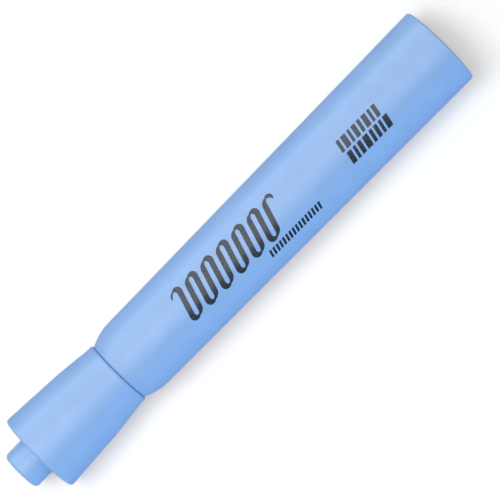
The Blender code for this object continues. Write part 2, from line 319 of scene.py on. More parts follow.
def turned(name, origin_x, outline, closed=True):
    """Draw a (station, radius) outline and spin it about the pen's axis."""
    points = [Vector((origin_x + station, 0.0, AXIS_Z - radius)) for station, radius in outline]
    if closed:
        points.append(points[0])
    piece = drawn_line(name, points)
    bpy.ops.object.mode_set(mode="EDIT")
    bpy.ops.mesh.select_all(action="SELECT")
    bpy.ops.mesh.remove_doubles(threshold=MERGE_DISTANCE)
    bpy.ops.mesh.spin(
        steps=bpy.context.scene.highlighter_sizes.segments, angle=2 * math.pi,
        use_auto_merge=True, center=(0.0, 0.0, AXIS_Z), axis=(1.0, 0.0, 0.0),
    )
    bpy.ops.mesh.select_all(action="SELECT")
    bpy.ops.mesh.remove_doubles(threshold=MERGE_DISTANCE)
    bpy.ops.mesh.delete_loose()
    bpy.ops.mesh.select_all(action="SELECT")
    bpy.ops.mesh.normals_make_consistent(inside=False)
    bpy.ops.object.mode_set(mode="OBJECT")
    return piece


def block(name, low, high, edge=BLOCK_EDGE, segments=2):
    """A box between two corners, with bevelled edges."""
    low, high = Vector(low), Vector(high)
    deselect_all()
    bpy.ops.mesh.primitive_cube_add(size=1.0, location=(low + high) / 2, scale=high - low)
    piece = bpy.context.object
    piece.name = piece.data.name = name
    bpy.ops.object.transform_apply(location=True, rotation=True, scale=True)
    if edge > 0:
        bpy.ops.object.mode_set(mode="EDIT")
        bpy.ops.mesh.select_all(action="SELECT")
        bpy.ops.mesh.bevel(offset=edge, segments=segments, affect="EDGES")
        bpy.ops.object.mode_set(mode="OBJECT")
    return piece


def copies_around(piece, count, offset=0.0):
    """Copies of a piece spaced evenly about the pen's axis; the piece itself is dropped."""
    copies = []
    for index in range(count):
        make_active(piece)
        bpy.ops.object.duplicate()
        copy = bpy.context.object
        bpy.ops.transform.rotate(
            value=offset + 2 * math.pi * index / count, orient_axis="X",
            center_override=(0.0, 0.0, AXIS_Z),
        )
        bpy.ops.object.transform_apply(location=True, rotation=True, scale=True)
        copies.append(copy)
    bpy.data.objects.remove(piece, do_unlink=True)
    return copies


def combine(piece, others, operation):
    """Apply an exact Boolean with each of the others, then drop them."""
    for other in others:
        make_active(piece)
        modifier = piece.modifiers.new(operation.lower(), "BOOLEAN")
        modifier.operation = operation
        modifier.solver = "EXACT"
        modifier.object = other
        bpy.ops.object.modifier_apply(modifier=modifier.name)
        bpy.data.objects.remove(other, do_unlink=True)


def finish_piece(piece, material, body, node=None):
    """Smooth the piece, give it its one material and hang it on its body."""
    make_active(piece)
    bpy.ops.object.transform_apply(location=True, rotation=True, scale=True)
    bpy.ops.object.shade_smooth_by_angle(angle=SHARP_ANGLE)
    piece.data.materials.clear()
    piece.data.materials.append(material)
    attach(piece, body)
    if node:
        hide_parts(node)


# ---------------------------------------------------------------- materials


def new_material(name, colour, roughness):
    """A material with one Principled shader; returns the material, its tree and the shader."""
    material = bpy.data.materials.new(name)
    material.use_nodes = True
    tree = material.node_tree
    shader = tree.nodes["Principled BSDF"]
    shader.inputs["Base Color"].default_value = (*colour, 1.0)
    shader.inputs["Roughness"].default_value = roughness
    material.diffuse_color = (*colour, 1.0)
    return material, tree, shader


def noise(tree, scale, detail=2.0, stretch=(1.0, 1.0, 1.0), roughness=0.5):
    """Noise on object coordinates; stretch squeezes the pattern along each axis."""
    place = tree.nodes.new("ShaderNodeTexCoord")
    mapping = tree.nodes.new("ShaderNodeMapping")
    mapping.inputs["Scale"].default_value = stretch
    pattern = tree.nodes.new("ShaderNodeTexNoise")
    pattern.inputs["Scale"].default_value = scale
    pattern.inputs["Detail"].default_value = detail
    pattern.inputs["Roughness"].default_value = roughness
    tree.links.new(place.outputs["Object"], mapping.inputs["Vector"])
    tree.links.new(mapping.outputs["Vector"], pattern.inputs["Vector"])
    return pattern.outputs["Fac"]


def remap(tree, value, low, high, from_low=0.3, from_high=0.7):
    """Spread a value between two ends; a noise mostly lies between 0.3 and 0.7."""
    node = tree.nodes.new("ShaderNodeMapRange")
    node.inputs["From Min"].default_value = from_low
    node.inputs["From Max"].default_value = from_high
    node.inputs["To Min"].default_value = low
    node.inputs["To Max"].default_value = high
    tree.links.new(value, node.inputs["Value"])
    return node.outputs["Result"]


def tint(tree, colour, shade, factor):
    """Mix two colours by a factor."""
    node = tree.nodes.new("ShaderNodeMix")
    node.data_type = "RGBA"
    node.inputs["A"].default_value = (*colour, 1.0)
    node.inputs["B"].default_value = (*shade, 1.0)
    tree.links.new(factor, node.inputs["Factor"])
    return node.outputs["Result"]


def bump(tree, height, strength, distance, under=None):
    """A surface relief, on top of the one under it if there is one."""
    node = tree.nodes.new("ShaderNodeBump")
    node.inputs["Strength"].default_value = strength
    node.inputs["Distance"].default_value = distance
    tree.links.new(height, node.inputs["Height"])
    if under is not None:
        tree.links.new(under, node.inputs["Normal"])
    return node.outputs["Normal"]


def scaled(colour, factor):
    """A colour made lighter or darker."""
    return tuple(min(1.0, channel * factor) for channel in colour)


def satin_plastic(name):
    """Moulded blue plastic: faint mottling, lengthwise draw marks and a fine spark texture."""
    smoothest, roughest = 0.30, 0.39
    darkest, lightest = 0.975, 1.02
    colour = tuple(bpy.context.scene.highlighter_colours.plastic)
    material, tree, shader = new_material(name, colour, 0.34)
    mottling = remap(tree, noise(tree, 260.0, detail=3.0), 0.0, 1.0)
    mixed = tint(tree, scaled(colour, darkest), scaled(colour, lightest), mottling)
    tree.links.new(mixed, shader.inputs["Base Color"])
    haze = noise(tree, 420.0, detail=4.0, stretch=(0.35, 1.0, 1.0))
    tree.links.new(remap(tree, haze, smoothest, roughest), shader.inputs["Roughness"])
    spark = noise(tree, 4200.0, detail=3.0)
    draw_marks = noise(tree, 1500.0, stretch=(0.03, 1.0, 1.0))
    texture = bump(tree, spark, strength=0.35, distance=0.00002)
    texture = bump(tree, draw_marks, strength=0.30, distance=0.00003, under=texture)
    tree.links.new(texture, shader.inputs["Normal"])
    return material


def printed_ink(name):
    """Glossy screen-printed ink, a little uneven in its film."""
    colour = tuple(bpy.context.scene.highlighter_colours.print_ink)
    material, tree, shader = new_material(name, colour, 0.28)
    film = noise(tree, 1800.0, detail=3.0)
    mixed = tint(tree, colour, scaled(colour, 2.2), remap(tree, film, 0.0, 1.0))
    tree.links.new(mixed, shader.inputs["Base Color"])
    tree.links.new(remap(tree, film, 0.24, 0.34), shader.inputs["Roughness"])
    texture = bump(tree, noise(tree, 5200.0), strength=0.2, distance=0.00001)
    tree.links.new(texture, shader.inputs["Normal"])
    return material


def felt(name):
    """Pressed felt: fibres that run along the nib, darker where they are soaked."""
    colour = tuple(bpy.context.scene.highlighter_colours.felt)
    material, tree, shader = new_material(name, colour, 0.85)
    fibres = noise(tree, 9000.0, detail=4.0, stretch=(0.06, 1.0, 1.0), roughness=0.65)
    clumps = noise(tree, 1500.0, detail=3.0, stretch=(0.3, 1.0, 1.0))
    mixed = tint(tree, scaled(colour, 0.72), scaled(colour, 1.25), remap(tree, fibres, 0.0, 1.0))
    tree.links.new(mixed, shader.inputs["Base Color"])
    texture = bump(tree, clumps, strength=0.5, distance=0.00006)
    texture = bump(tree, fibres, strength=0.8, distance=0.00004, under=texture)
    tree.links.new(texture, shader.inputs["Normal"])
    shader.inputs["Sheen Weight"].default_value = 0.25
    shader.inputs["Sheen Roughness"].default_value = 0.5
    return material


def fibre_core(name):
    """A bundle of fine lengthwise fibres, unevenly inked."""
    colour = tuple(bpy.context.scene.highlighter_colours.fibre)
    material, tree, shader = new_material(name, colour, 0.9)
    strands = noise(tree, 5200.0, detail=4.0, stretch=(0.02, 1.0, 1.0), roughness=0.6)
    soak = noise(tree, 140.0, detail=3.0)
    mixed = tint(tree, scaled(colour, 0.8), scaled(colour, 1.2), remap(tree, soak, 0.0, 1.0))
    tree.links.new(mixed, shader.inputs["Base Color"])
    texture = bump(tree, strands, strength=0.9, distance=0.00006)
    tree.links.new(texture, shader.inputs["Normal"])
    return material


def clear_film(name):
    """Thin clear wrap, slightly wrinkled."""
    colour = tuple(bpy.context.scene.highlighter_colours.film)
    material, tree, shader = new_material(name, colour, 0.12)
    wrinkles = noise(tree, 900.0, detail=3.0, stretch=(0.25, 1.0, 1.0))
    texture = bump(tree, wrinkles, strength=0.4, distance=0.00005)
    tree.links.new(texture, shader.inputs["Normal"])
    tree.links.new(remap(tree, wrinkles, 0.08, 0.2), shader.inputs["Roughness"])
    shader.inputs["Transmission Weight"].default_value = 0.85
    shader.inputs["IOR"].default_value = 1.45
    return material


# ---------------------------------------------------------------- pieces


def barrel_radius(station, sizes):
    """Outer radius of the barrel's tapered length."""
    share = station / (BARREL_LENGTH - sizes.shoulder_length)
    return RIM_RADIUS + (sizes.shoulder_start - RIM_RADIUS) * share


def barrel_outside(sizes, offset=0.0):
    """The barrel's outer outline from the tail edge to the seam, pushed out by an offset."""
    shoulder_station = BARREL_LENGTH - sizes.shoulder_length
    centre = (shoulder_station, sizes.shoulder_start - sizes.shoulder_radius)
    sweep = math.degrees(math.asin((BARREL_FRONT - shoulder_station) / sizes.shoulder_radius))
    tail_centre = (sizes.tail_edge, RIM_RADIUS - sizes.tail_edge)
    outline = arc(tail_centre, sizes.tail_edge, 180, 90)
    taper_steps = shoulder_steps = 24
    for step in range(1, taper_steps):
        station = sizes.tail_edge + (shoulder_station - sizes.tail_edge) * step / taper_steps
        outline.append((station, barrel_radius(station, sizes)))
    outline += arc(centre, sizes.shoulder_radius, 90, 90 - sweep, shoulder_steps)
    return [(station, radius + offset) for station, radius in outline]


class HIGHLIGHTER_OT_barrel(bpy.types.Operator):
    """Model the tapered barrel with its round shoulder, seats and inner ribs"""

    bl_idname = "highlighter.barrel"
    bl_label = "Barrel"

    def execute(self, context):
        sizes = context.scene.highlighter_sizes
        nose_seat_length = 0.0062
        nose_seat_cone = 0.0020
        plug_seat_depth = 0.0080
        edge = 0.00015
        front_round = 0.00025
        face_reach = 0.00010
        rib_count = 6
        rib_half = 0.00045
        rib_start, rib_end = 0.0105, 0.0855

        seat_start = BARREL_FRONT - nose_seat_length
        cone_start = seat_start - nose_seat_cone
        plug_bore = PLUG_RADIUS + FIT_GAP
        outside = barrel_outside(sizes)
        lip_radius = outside[-1][1]
        face = BARREL_FRONT + face_reach
        outline = (
            [(edge, plug_bore), (0.0, plug_bore + edge)]
            + outside[:-2]
            + bend(outside[-2], (face, lip_radius), (face, lip_radius - front_round), 8)
            + [(face, sizes.nose_seat + edge), (face - edge, sizes.nose_seat)]
            + [(seat_start, sizes.nose_seat)]
            + [(cone_start, barrel_radius(cone_start, sizes) - sizes.wall)]
            + [(plug_seat_depth, barrel_radius(plug_seat_depth, sizes) - sizes.wall)]
            + [(plug_seat_depth, plug_bore)]
        )
        barrel = turned("barrel_tube", TAIL_X, outline)
        film_radius = (FILM_BOX[1].z - FILM_BOX[0].z) / 2
        rib = block(
            "barrel_rib",
            (TAIL_X + rib_start, film_radius + SEAM_GAP, AXIS_Z - rib_half),
            (TAIL_X + rib_end, sizes.shoulder_start - sizes.wall / 2, AXIS_Z + rib_half),
        )
        combine(barrel, copies_around(rib, rib_count), "UNION")
        material = satin_plastic("barrel_satin_blue")
        finish_piece(barrel, material, "barrel", "barrel")
        return {"FINISHED"}


class HIGHLIGHTER_OT_tail_plug(bpy.types.Operator):
    """Model the flush plug that closes the tail, with its dished face and stiffening webs"""

    bl_idname = "highlighter.tail_plug"
    bl_label = "Tail plug"

    def execute(self, context):
        radius = PLUG_RADIUS
        skirt_end = 0.0077
        skirt_wall = 0.0010
        face = 0.0013
        edge = 0.0003
        dish, dish_depth = 0.0060, 0.00025
        gate, gate_top, gate_start = 0.0009, 0.00072, 0.00010
        half = 0.00045

        inner = radius - skirt_wall
        outline = (
            [(gate_start, 0.0), (gate_start, gate_top)]
            + [(dish_depth, gate), (dish_depth, dish - dish_depth)]
            + arc((dish_depth / 2, dish), dish_depth / 2, -90, -180, 4)[1:]
            + arc((edge, radius - edge), edge, 180, 90, 6)
            + arc((skirt_end - edge, radius - edge), edge, 90, 0, 4)
            + [(skirt_end, inner), (face, inner), (face, 0.0)]
        )
        plug = turned("tail_plug_disc", TAIL_X, outline, closed=False)
        reach = inner + skirt_wall / 2
        start, end = TAIL_X + face / 2 + dish_depth, TAIL_X + skirt_end - edge
        wide = block("web_wide", (start, -reach, AXIS_Z - half), (end, reach, AXIS_Z + half))
        tall = block("web_tall", (start, -half, AXIS_Z - reach), (end, half, AXIS_Z + reach))
        post = block(
            "post", (start, -2 * half, AXIS_Z - 2 * half),
            (TAIL_X + PLUG_REACH, 2 * half, AXIS_Z + 2 * half),
        )
        combine(plug, [wide, tall, post], "UNION")
        material = satin_plastic("plug_satin_blue")
        finish_piece(plug, material, "barrel", "tail_plug")
        return {"FINISHED"}


class HIGHLIGHTER_OT_reservoir(bpy.types.Operator):
    """Model the fibre core that holds the ink, and the film wrapped around it"""

    bl_idname = "highlighter.reservoir"
    bl_label = "Ink reservoir"

    def execute(self, context):
        edge = 0.0004
        lap_height = 0.00008
        lap_half = 0.0011

        low, high = RESERVOIR_BOX
        radius = (high.z - low.z) / 2
        length = high.x - low.x
        outline = (
            [(0.0, 0.0)]
            + arc((edge, radius - edge), edge, 180, 90, 5)
            + arc((length - edge, radius - edge), edge, 90, 0, 5)
            + [(length, 0.0)]
        )
        core = turned("fibre_reservoir", low.x, outline, closed=False)
        nib_low, nib_high = NIB_BOX
        gap = SEAM_GAP
        pocket = block(
            "nib_pocket", (nib_low.x - gap, nib_low.y - gap, nib_low.z - gap),
            (high.x + CUTTER_OVERRUN, nib_high.y + gap, nib_high.z + gap),
        )
        combine(core, [pocket], "DIFFERENCE")
        finish_piece(core, fibre_core("inked_fibre"), "barrel", "ink_reservoir")

        low, high = FILM_BOX
        outer = (high.z - low.z) / 2
        inner = radius + FIT_GAP
        length = high.x - low.x
        under_lap = outer - lap_height
        outline = [(0.0, inner), (0.0, under_lap), (length, under_lap), (length, inner)]
        film = turned("reservoir_wrap", low.x, outline)
        lap = block(
            "wrap_lap",
            (low.x + lap_height, -lap_half, AXIS_Z + under_lap - lap_height / 2),
            (high.x - lap_height, lap_half, AXIS_Z + under_lap + lap_height * 0.6),
            lap_height / 4,
        )
        combine(film, [lap], "UNION")
        finish_piece(film, clear_film("clear_wrap"), "barrel", "reservoir_film")
        return {"FINISHED"}


class HIGHLIGHTER_OT_nose_section(bpy.types.Operator):
    """Model the nose section: spigot, flange, sealing land with beads, cone and nib slot"""

    bl_idname = "highlighter.nose_section"
    bl_label = "Nose section"

    def execute(self, context):
        sizes = context.scene.highlighter_sizes
        edge = 0.0003
        flange_length = 0.0015
        seal = 0.00565
        bead_places = (0.0995, 0.1025)
        bead_half, bead_height = 0.0005, 0.00007
        cone_start, cone_end = 0.1045, 0.1113
        cone_round, cone_drop = 0.0008, 0.0004
        tip_radius = 0.0037
        bore, bore_end = 0.0046, 0.1035
        groove_half, groove_depth = 0.0005, 0.0006

        spigot = sizes.nose_seat - FIT_GAP
        flange_start = BARREL_LENGTH
        flange_end = flange_start + flange_length
        tip_edge = NOSE_TIP - cone_end
        outline = (
            [(NOSE_REAR, bore)]
            + arc((NOSE_REAR + edge, spigot - edge), edge, 180, 90, 4)
            + [(flange_start, spigot)]
            + [(flange_start, FLANGE_RADIUS - edge / 2), (flange_start + edge / 2, FLANGE_RADIUS)]
            + arc((flange_end - edge, FLANGE_RADIUS - edge), edge, 90, 0, 4)
            + [(flange_end, seal + edge), (flange_end + edge, seal)]
        )
        for middle in bead_places:
            outline += bead(middle, seal, bead_half, bead_height)
        outline += bend(
            (cone_start, seal), (cone_start + cone_round, seal),
            (cone_start + 2 * cone_round, seal - cone_drop), 6,
        )
        outline += arc((cone_end, tip_radius - tip_edge), tip_edge, 75, 0, 8)
        outline += [(NOSE_TIP, 0.0), (bore_end, 0.0), (bore_end, bore)]
        nose = turned("nose_moulding", TAIL_X, outline)

        low, high = NIB_BOX
        gap = SEAM_GAP
        start = TAIL_X + bore_end - CUTTER_OVERRUN
        end = TAIL_X + NOSE_TIP + CUTTER_OVERRUN
        slot = block(
            "nib_slot", (start, low.y - gap, low.z - gap), (end, high.y + gap, high.z + gap), edge,
        )
        reach = (high.z - low.z) / 2 + gap + groove_depth
        groove = block(
            "vent_groove",
            (start, -groove_half, AXIS_Z - reach), (end, groove_half, AXIS_Z + reach),
        )
        combine(nose, [slot, groove], "DIFFERENCE")
        material = satin_plastic("nose_satin_blue")
        finish_piece(nose, material, "barrel", "nose_section")
        return {"FINISHED"}


class HIGHLIGHTER_OT_nib(bpy.types.Operator):
    """Model the chisel nib: a felt bar cut to a slanted edge between two flanks"""

    bl_idname = "highlighter.nib"
    bl_label = "Chisel nib"

    def execute(self, context):
        slant = math.radians(42)
        flank = math.radians(24)
        edge_half = 0.0006
        corner = 0.0004
        wear, wear_angle = 0.00012, math.radians(20)

        low, high = NIB_BOX
        nib = block("felt_chisel", low, high, corner, 4)
        make_active(nib)
        tip = Vector((high.x, high.y, AXIS_Z))
        cuts = [(tip, Vector((math.cos(slant), -math.sin(slant), 0.0)))]
        along_edge = Vector((math.sin(slant), math.cos(slant), 0.0))
        for side in (1, -1):
            down_flank = Vector((-math.cos(flank), 0.0, side * math.sin(flank)))
            normal = along_edge.cross(down_flank).normalized()
            if normal.z * side < 0:
                normal.negate()
            cuts.append((tip + Vector((0.0, 0.0, side * edge_half)), normal))
        bpy.ops.object.mode_set(mode="EDIT")
        for point, normal in cuts:
            bpy.ops.mesh.select_all(action="SELECT")
            bpy.ops.mesh.bisect(
                plane_co=point, plane_no=normal, use_fill=True, clear_outer=True,
                threshold=CUT_DISTANCE,
            )
        bpy.ops.mesh.select_all(action="SELECT")
        bpy.ops.mesh.remove_doubles(threshold=MERGE_DISTANCE)
        bpy.ops.mesh.normals_make_consistent(inside=False)
        bpy.ops.object.mode_set(mode="OBJECT")
        softening = nib.modifiers.new("worn_edges", "BEVEL")
        softening.width = wear
        softening.segments = 3
        softening.limit_method = "ANGLE"
        softening.angle_limit = wear_angle
        bpy.ops.object.modifier_apply(modifier=softening.name)
        finish_piece(nib, felt("inked_felt"), "barrel", "chisel_nib")
        return {"FINISHED"}


class HIGHLIGHTER_OT_cap_shell(bpy.types.Operator):
    """Model the cap's flared outer shell, its web, ribs and air slots"""

    bl_idname = "highlighter.cap_shell"
    bl_label = "Cap shell"

    def execute(self, context):
        sizes = context.scene.highlighter_sizes
        mouth, wall = sizes.shell_mouth, sizes.shell_wall
        mouth_edge = 0.0005
        band_start, band_end, band_step = 0.0011, 0.0021, 0.00006
        knee_start, knee_middle, knee_end = (0.0070, 0.00842), (0.0098, 0.00874), (0.0136, 0.00892)
        rim_edge = 0.0006
        web_start, web_end = 0.0184, 0.0195
        fillet = 0.0003
        lead_in = 0.00025
        inner_rim = 0.0002
        rib_count = 6
        rib_half = 0.0004
        long_rib_start = 0.0040
        end_rib_set_back = 0.0012
        end_rib_inner = 0.0050
        end_rib_edge = 0.00015
        slot_inner, slot_outer = 0.0057, 0.0073
        slot_half = 0.0009
        slot_corner = 0.0003

        knee = bend(knee_start, knee_middle, knee_end)
        rim_start = SHELL_LENGTH - rim_edge
        flare = (RIM_RADIUS - knee_end[1]) / (rim_start - knee_end[0])

        def inside(station):
            return knee_end[1] + flare * (station - knee_end[0]) - wall

        band_middle = (band_start + band_end) / 2
        web_middle = (web_start + web_end) / 2
        web_bore = sizes.stub_radius + FIT_GAP
        outline = (
            [(lead_in, sizes.shell_bore), (0.0, sizes.shell_bore + lead_in)]
            + arc((mouth_edge, mouth - mouth_edge), mouth_edge, 180, 90, 10)
            + bend((band_start, mouth), (band_middle, mouth), (band_end, mouth + band_step), 4)
            + knee
            + arc((rim_start, RIM_RADIUS - rim_edge), rim_edge, 90, 0, 12)
            + [(SHELL_LENGTH, inside(SHELL_LENGTH) + inner_rim)]
            + [(SHELL_LENGTH - inner_rim, inside(SHELL_LENGTH))]
            + arc((web_end + fillet, inside(web_end) - fillet), fillet, 90, 180, 5)
            + [(web_end, web_bore + inner_rim), (web_end - inner_rim, web_bore)]
            + [(web_start, web_bore)]
            + arc((web_start - fillet, inside(web_start) - fillet), fillet, 0, 90, 5)
            + [(station, radius - wall) for station, radius in reversed(knee)]
            + [(band_middle, sizes.shell_bore)]
        )
        shell = turned("cap_sleeve", MOUTH_X, outline)

        long_rib = block(
            "long_rib",
            (MOUTH_X + long_rib_start, SEAL_TUBE_RADIUS + SEAM_GAP, AXIS_Z - rib_half),
            (MOUTH_X + web_middle, knee_start[1] - wall / 2, AXIS_Z + rib_half),
        )
        combine(shell, copies_around(long_rib, rib_count), "UNION")
        end_rib_end = MOUTH_X + SHELL_LENGTH - end_rib_set_back
        end_rib = block(
            "end_rib",
            (MOUTH_X + web_middle, end_rib_inner, AXIS_Z - rib_half),
            (end_rib_end, inside(web_end) + wall / 2, AXIS_Z + rib_half),
            end_rib_edge, 3,
        )
        combine(shell, copies_around(end_rib, rib_count), "UNION")
        slot = block(
            "air_slot",
            (MOUTH_X + web_start - CUTTER_OVERRUN, slot_inner, AXIS_Z - slot_half),
            (MOUTH_X + web_end + CUTTER_OVERRUN, slot_outer, AXIS_Z + slot_half),
            slot_corner, 4,
        )
        slots = copies_around(slot, rib_count, math.pi / rib_count)
        combine(shell, slots, "DIFFERENCE")
        material = satin_plastic("cap_satin_blue")
        finish_piece(shell, material, "cap_shell", "cap_shell")
        return {"FINISHED"}


class HIGHLIGHTER_OT_inner_cap(bpy.types.Operator):
    """Model the inner cap: a stepped sealing tube whose closed end is the cap's stub"""

    bl_idname = "highlighter.inner_cap"
    bl_label = "Inner cap"

    def execute(self, context):
        sizes = context.scene.highlighter_sizes
        stub, bore = sizes.stub_radius, sizes.seal_bore
        edge = 0.0003
        tube_end = 0.0122
        stub_start = 0.01825
        stub_bore = 0.0036
        stub_edge = 0.0009
        end_thickness = 0.0010
        snap_middle, snap_half, snap_height = 0.01995, 0.0003, 0.00023
        gate, gate_floor, gate_depth = 0.0007, 0.00049, 0.00012

        half_wall = (SEAL_TUBE_RADIUS - bore) / 2
        end = CAP_LENGTH
        outline = [
            (SEAL_TUBE_START, bore + edge),
            (SEAL_TUBE_START, SEAL_TUBE_RADIUS - edge / 2),
            (SEAL_TUBE_START + edge / 2, SEAL_TUBE_RADIUS),
            (tube_end, SEAL_TUBE_RADIUS),
            (stub_start, stub),
        ]
        outline += bead(snap_middle, stub, snap_half, snap_height)
        outline += arc((end - stub_edge, stub - stub_edge), stub_edge, 90, 0, 14)
        outline += [
            (end, gate),
            (end - gate_depth, gate_floor),
            (end - gate_depth, 0.0),
            (end - end_thickness, 0.0),
            (end - end_thickness, stub_bore - edge),
            (end - end_thickness - edge, stub_bore),
            (stub_start - half_wall, stub_bore),
            (tube_end - half_wall, bore),
            (SEAL_TUBE_START + edge, bore),
        ]
        inner = turned("seal_cap", MOUTH_X, outline)
        material = satin_plastic("stub_satin_blue")
        finish_piece(inner, material, "inner_cap", "inner_cap")
        return {"FINISHED"}


# ---------------------------------------------------------------- printed marks


def ink_film(sizes):
    """A thin tube that lies just off the barrel's surface: the marks are cut out of it."""
    clearance = 0.000002
    tail_points, shoulder_points = 8, 20
    covered = slice(tail_points, -shoulder_points)
    outer = barrel_outside(sizes, clearance + sizes.print_thickness)[covered]
    inner = barrel_outside(sizes, clearance)[covered]
    return turned("ink_film", TAIL_X, outer + inner[::-1])


def print_point(station, rise):
    """A point on the print's plan: station from the seam to the tail, rise to the pen's side."""
    return Vector((MOUTH_X - station, -rise, AXIS_Z))


def slanted_block(name, station, rise, width, height, slant):
    """A leaning bar, seen from above, tall enough to cut through the ink film."""
    low = print_point(station + width, rise + height)
    high = print_point(station, rise)
    piece = block(name, low, (high.x, high.y, AXIS_Z + ABOVE_PEN), 0.0)
    bpy.ops.object.mode_set(mode="EDIT")
    middle = (low.y + high.y) / 2
    select_where(piece, lambda vertex: vertex.co.y < middle)
    bpy.ops.transform.translate(value=(-slant * height, 0.0, 0.0))
    bpy.ops.object.mode_set(mode="OBJECT")
    return piece


def wave_line(start, length, turns, height, slant):
    """Centre line of an even, leaning wave with round turns."""
    radius = length / (2 * turns)
    steps = 16
    points = []
    for turn in range(turns):
        side = 1 if turn % 2 == 0 else -1
        middle = start + radius * (2 * turn + 1)
        for step in range(steps + 1):
            angle = math.pi * (1 - step / steps)
            rise = side * (height / 2 - radius + radius * math.sin(angle))
            points.append((middle + radius * math.cos(angle) + slant * rise, rise))
    return points


def stroke(name, points, thin, thick, pen_angle):
    """A stroke of a broad pen along a centre line: two drawn edges, bridged and extruded up."""
    end_share, share_step = 0.25, 0.09
    last = len(points) - 1
    left, right = [], []
    for index, (station, rise) in enumerate(points):
        before, after = points[max(index - 1, 0)], points[min(index + 1, last)]
        heading = math.atan2(after[1] - before[1], after[0] - before[0])
        half = (thin + (thick - thin) * abs(math.sin(heading - pen_angle))) / 2
        half *= min(1.0, end_share + share_step * min(index, last - index))
        across, up = -math.sin(heading) * half, math.cos(heading) * half
        left.append(print_point(station - across, rise - up))
        right.append(print_point(station + across, rise + up))
    piece = join(name, [drawn_line("left_edge", left), drawn_line("right_edge", right)])
    bpy.ops.object.mode_set(mode="EDIT")
    bpy.ops.mesh.select_all(action="SELECT")
    bpy.ops.mesh.bridge_edge_loops()
    bpy.ops.mesh.select_all(action="SELECT")
    bpy.ops.mesh.extrude_region_move(TRANSFORM_OT_translate={"value": (0.0, 0.0, ABOVE_PEN)})
    bpy.ops.mesh.select_all(action="SELECT")
    bpy.ops.mesh.normals_make_consistent(inside=False)
    bpy.ops.object.mode_set(mode="OBJECT")
    return piece


def join(name, pieces):
    deselect_all()
    for piece in pieces:
        piece.select_set(True)
    bpy.context.view_layer.objects.active = pieces[0]
    bpy.ops.object.join()
    pieces[0].name = pieces[0].data.name = name
    return pieces[0]


class HIGHLIGHTER_OT_print(bpy.types.Operator):
    """Lay the printed marks on the barrel: a wave, a hatched line and two rows of bars"""

    bl_idname = "highlighter.print"
    bl_label = "Printed marks"

    def execute(self, context):
        sizes = context.scene.highlighter_sizes
        wave = wave_line(start=0.0178, length=0.0292, turns=13, height=0.0072, slant=0.32)
        scribble = stroke(
            "print_scribble", wave, thin=0.0004, thick=0.0014, pen_angle=math.radians(20),
        )
        hatch_start, hatch_pitch, hatch_rise = 0.0391, 0.00093, -0.0061
        hatch_width, hatch_height, hatch_slant = 0.00055, 0.0015, 0.25
        hatch = [
            slanted_block(
                "hatch", hatch_start + hatch_pitch * index, hatch_rise,
                hatch_width, hatch_height, hatch_slant,
            )
            for index in range(16)
        ]
        row_start, bar_height, bar_gap, bar_slant = 0.0643, 0.0027, 0.0005, 0.2
        bars = []
        for rise, widths in (
            (-0.0013, (0.0008, 0.0013, 0.0007, 0.0011, 0.0008, 0.0012, 0.0007, 0.0010)),
            (-0.0045, (0.0012, 0.0007, 0.0010, 0.0014, 0.0008, 0.0009, 0.0007, 0.0013)),
        ):
            station = row_start
            for width in widths:
                bars.append(slanted_block("bar", station, rise, width, bar_height, bar_slant))
                station += width + bar_gap
        ink = printed_ink("glossy_print")
        for mark in (scribble, join("print_hatch", hatch), join("print_bars", bars)):
            combine(mark, [ink_film(sizes)], "INTERSECT")
            finish_piece(mark, ink, "barrel")
        return {"FINISHED"}


# ---------------------------------------------------------------- stage


def floor_with_painted_shadow_tint(name, glow):
    """Matt white floor that glows: a painted shadow tint, warm, in a strip along the pen, then
    white and brighter.
    """
    # Painted shadow tint: the glow is warmer in a strip along the pen, where its shadow falls
    painted_shadow_tint, painted_tint_start = (0.37, 0.285, 0.15), 0.012
    clear, painted_tint_end = (0.36, 0.36, 0.36), 0.024
    painted_tint_shape = (0.26, 1.0, 1.0)
    near, far, far_gain = 0.10, 0.45, 2.8
    material, tree, shader = new_material(name, (0.92, 0.96, 1.0), 0.9)

    def distance(stretch):
        place = tree.nodes.new("ShaderNodeTexCoord")
        mapping = tree.nodes.new("ShaderNodeMapping")
        mapping.inputs["Scale"].default_value = stretch
        length = tree.nodes.new("ShaderNodeVectorMath")
        length.operation = "LENGTH"
        tree.links.new(place.outputs["Object"], mapping.inputs["Vector"])
        tree.links.new(mapping.outputs["Vector"], length.inputs[0])
        return length.outputs["Value"]

    # The painted shadow tint fades into the clear glow between the strip's start and end distances
    painted_tint_share = remap(tree, distance(painted_tint_shape), 0.0, 1.0, painted_tint_start, painted_tint_end)
    tree.links.new(tint(tree, painted_shadow_tint, clear, painted_tint_share), shader.inputs["Emission Color"])
    strength = remap(tree, distance((1.0, 1.0, 1.0)), glow, glow * far_gain, near, far)
    tree.links.new(strength, shader.inputs["Emission Strength"])
    shader.inputs["Specular IOR Level"].default_value = 0.0
    return material


def soft_light(name, lean, distance, size, power, colour, toward_cap=0.0, reflected=False):
    """An area light aimed at the pen, leaning toward the lit side and the cap.

    A reflected light shows only as a highlight, any other only lights surfaces.
    """
    aim = Vector((math.tan(math.radians(toward_cap)), 0.0, 1.0)).normalized()
    aim.rotate(Euler((math.radians(lean), 0.0, 0.0)))
    bpy.ops.object.light_add(
        type="AREA", location=aim * distance + Vector((0.0, 0.0, AXIS_Z)),
        rotation=aim.to_track_quat("Z", "Y").to_euler(),
    )
    lamp = bpy.context.object
    lamp.name = lamp.data.name = name
    lamp.data.shape = "RECTANGLE"
    lamp.data.size, lamp.data.size_y = size
    lamp.data.energy = power
    lamp.data.color = colour
    lamp.visible_camera = False
    lamp.visible_diffuse = not reflected
    lamp.visible_glossy = reflected
    return lamp


